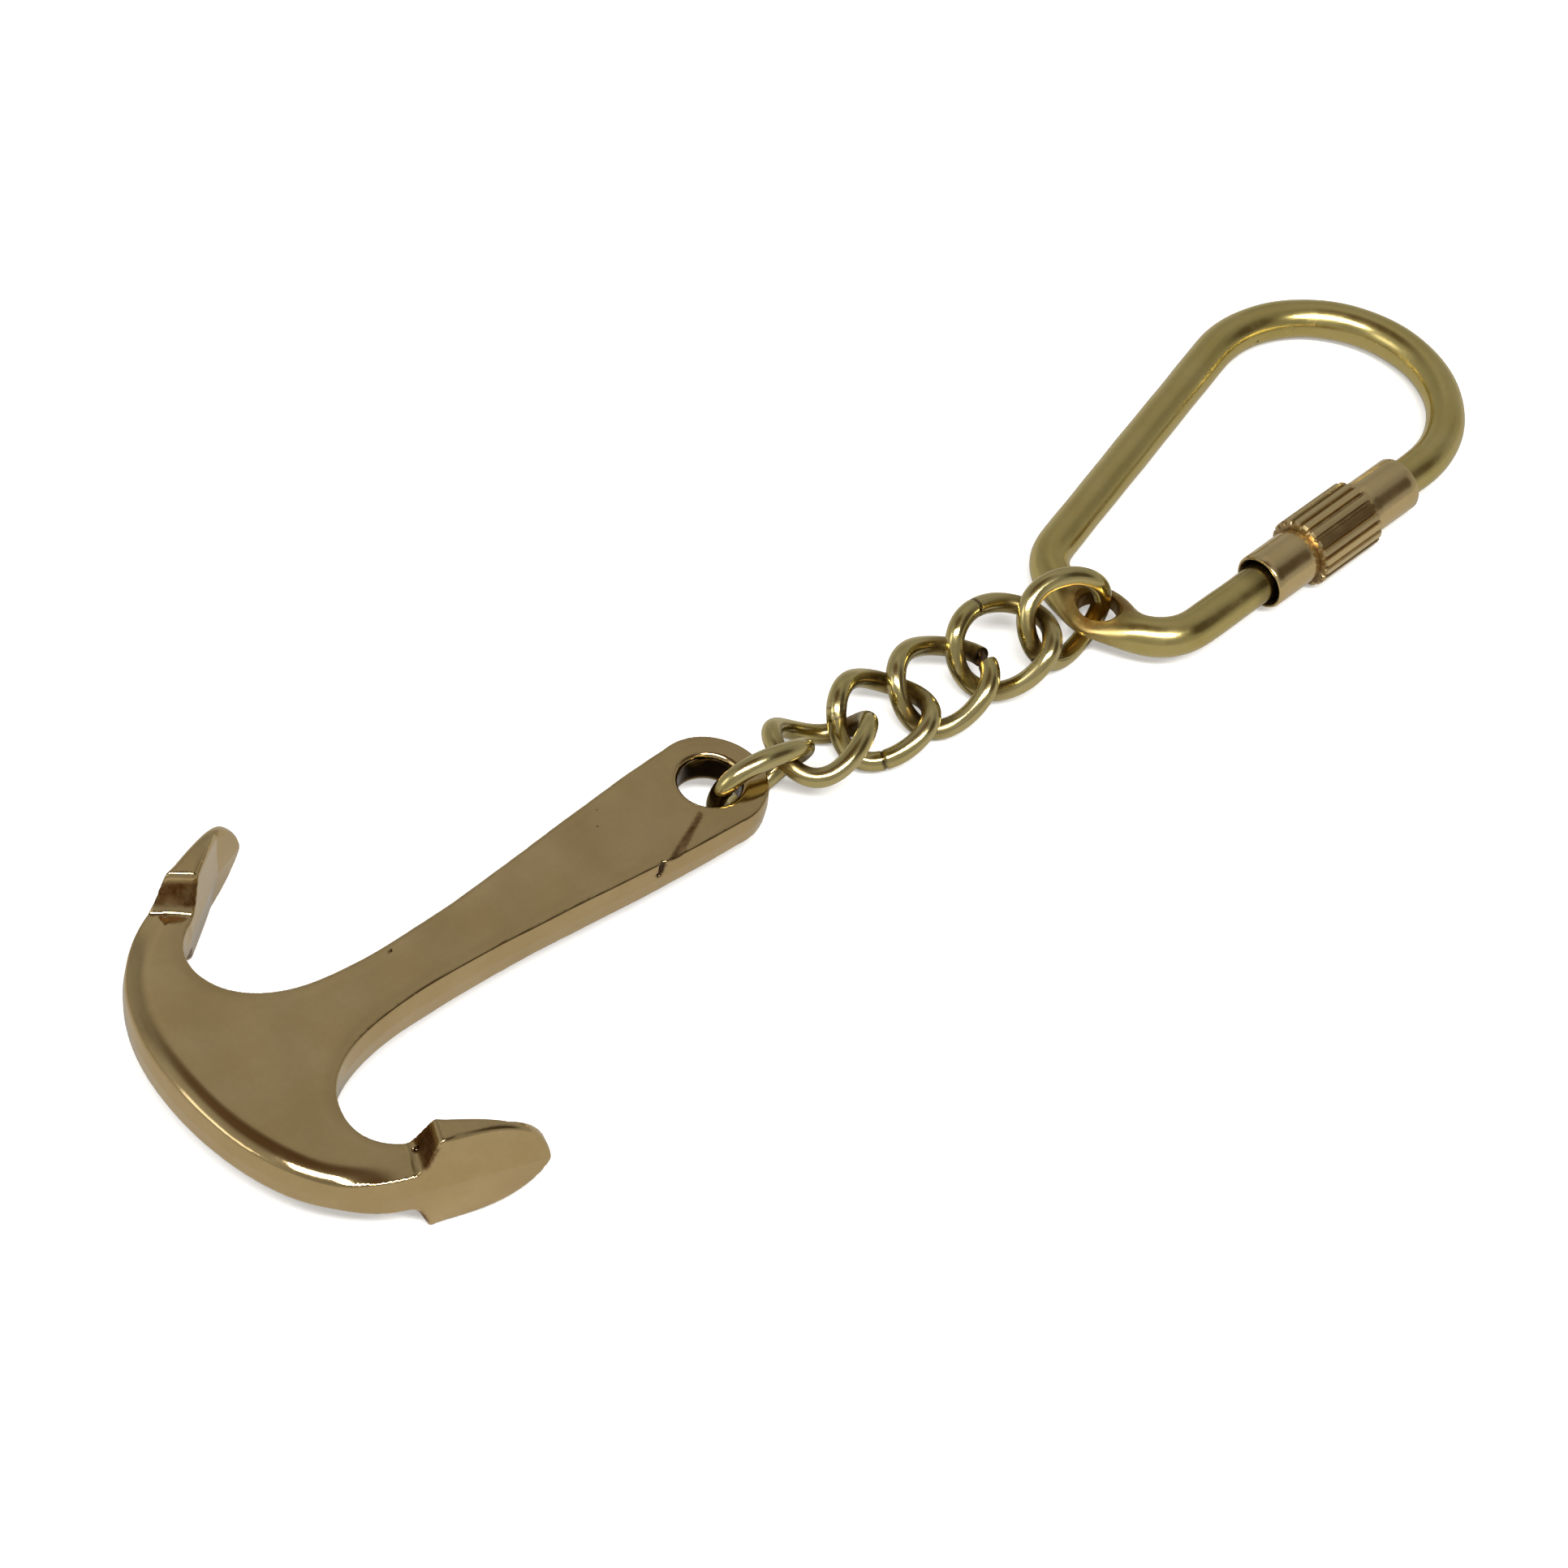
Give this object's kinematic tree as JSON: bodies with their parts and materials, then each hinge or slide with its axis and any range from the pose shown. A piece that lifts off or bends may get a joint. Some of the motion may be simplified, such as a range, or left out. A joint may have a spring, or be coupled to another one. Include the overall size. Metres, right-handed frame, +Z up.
{
  "type": "keychain bottle opener",
  "caption": "Solid brass anchor-shaped bottle opener on a short curb chain, with a pear-shaped key loop closed by a knurled screw sleeve.",
  "frame": {"origin": "on the table, at the centre of the resting object's footprint", "axes": "+X along the anchor's shank from its crown towards the chain and the key loop, +Z up from the table"},
  "size_m": [0.1232, 0.0344, 0.0093],
  "materials": {
    "anchor_cast_brass": "hand-polished casting, warm bronze tone",
    "chain_wire_brass": "bright drawn wire",
    "loop_rod_brass": "drawn rod, bent and lightly tumbled",
    "sleeve_turned_brass": "turned and straight-knurled"
  },
  "bodies": {
    "anchor": {"anchor": "anchor_cast_brass"},
    "link_a": {"link_a": "chain_wire_brass"},
    "link_b": {"link_b": "chain_wire_brass"},
    "link_c": {"link_c": "chain_wire_brass"},
    "link_d": {"link_d": "chain_wire_brass"},
    "link_e": {"link_e": "chain_wire_brass"},
    "link_f": {"link_f": "chain_wire_brass"},
    "key_loop": {"key_loop": "loop_rod_brass"},
    "lock_sleeve": {"lock_sleeve": "sleeve_turned_brass"}
  },
  "joints": [
    {"name": "link_a_swing", "type": "hinge", "parent": "anchor", "child": "link_a", "pos_m": [-0.01463, -0.00099, 0.00351], "axis": [-0.038, -0.0592, 0.9975], "range_deg": [-25, 35]},
    {"name": "link_b_swing", "type": "hinge", "parent": "link_a", "child": "link_b", "pos_m": [-0.00664, -0.00141, 0.00379], "axis": [0.0545, 0.4439, -0.8944], "range_deg": [-40, 40]},
    {"name": "link_c_swing", "type": "hinge", "parent": "link_b", "child": "link_c", "pos_m": [-0.00106, -0.00136, 0.00263], "axis": [-0.1458, 0.5432, -0.8268], "range_deg": [-40, 40]},
    {"name": "link_d_swing", "type": "hinge", "parent": "link_c", "child": "link_d", "pos_m": [0.00455, -0.00239, 0.00243], "axis": [0.1309, 0.936, -0.3267], "range_deg": [-25, 40]},
    {"name": "link_e_swing", "type": "hinge", "parent": "link_d", "child": "link_e", "pos_m": [0.0102, -0.00225, 0.00316], "axis": [0.0376, 0.933, -0.3579], "range_deg": [-40, 35]},
    {"name": "link_f_swing", "type": "hinge", "parent": "link_e", "child": "link_f", "pos_m": [0.01547, -0.00389, 0.00465], "axis": [0.299, 0.9358, -0.1867], "range_deg": [-40, 40]},
    {"name": "key_loop_swing", "type": "hinge", "parent": "link_f", "child": "key_loop", "pos_m": [0.02097, -0.00445, 0.00308], "axis": [0.2178, 0.0768, 0.973], "range_deg": [-35, 35]},
    {"name": "sleeve_travel", "type": "slide", "parent": "key_loop", "child": "lock_sleeve", "axis": [-0.9991, -0.0386, 0.0151], "range_m": [0, 0.006]}
  ]
}
